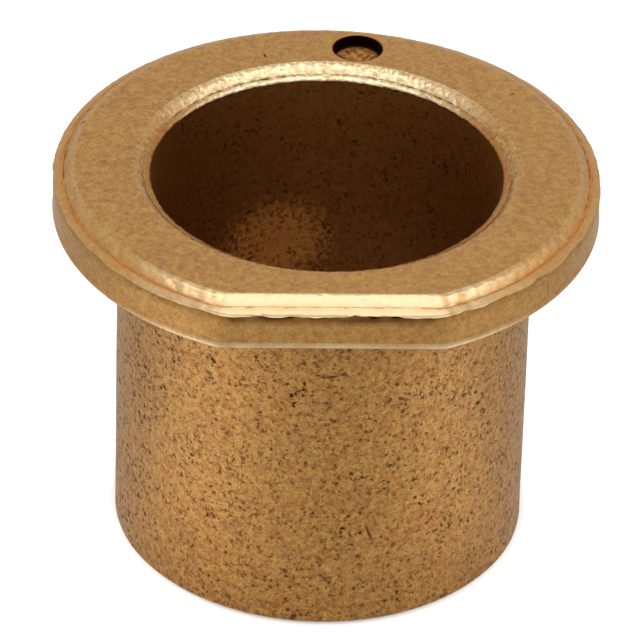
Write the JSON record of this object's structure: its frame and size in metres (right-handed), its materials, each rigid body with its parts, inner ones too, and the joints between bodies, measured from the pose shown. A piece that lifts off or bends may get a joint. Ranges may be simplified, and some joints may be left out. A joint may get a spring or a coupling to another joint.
{
  "type": "flanged sintered bronze bushing",
  "caption": "Plain flanged sleeve bearing of porous sintered bronze, with a flat on the flange that stops it turning and a blind locating hole in the flange's face.",
  "frame": {"origin": "on the bore's axis, in the plane of the face that the flange seats on", "axes": "+Z along the bore's axis, out through the flange; the flange's flat faces -Y; the barrel points down -Z"},
  "size_m": [0.0334, 0.032, 0.0254],
  "materials": {
    "sintered_bronze": "fine-grained, porous, slightly oily metal"
  },
  "bodies": {
    "root": {"flanged_bushing": "sintered_bronze"}
  },
  "joints": []
}
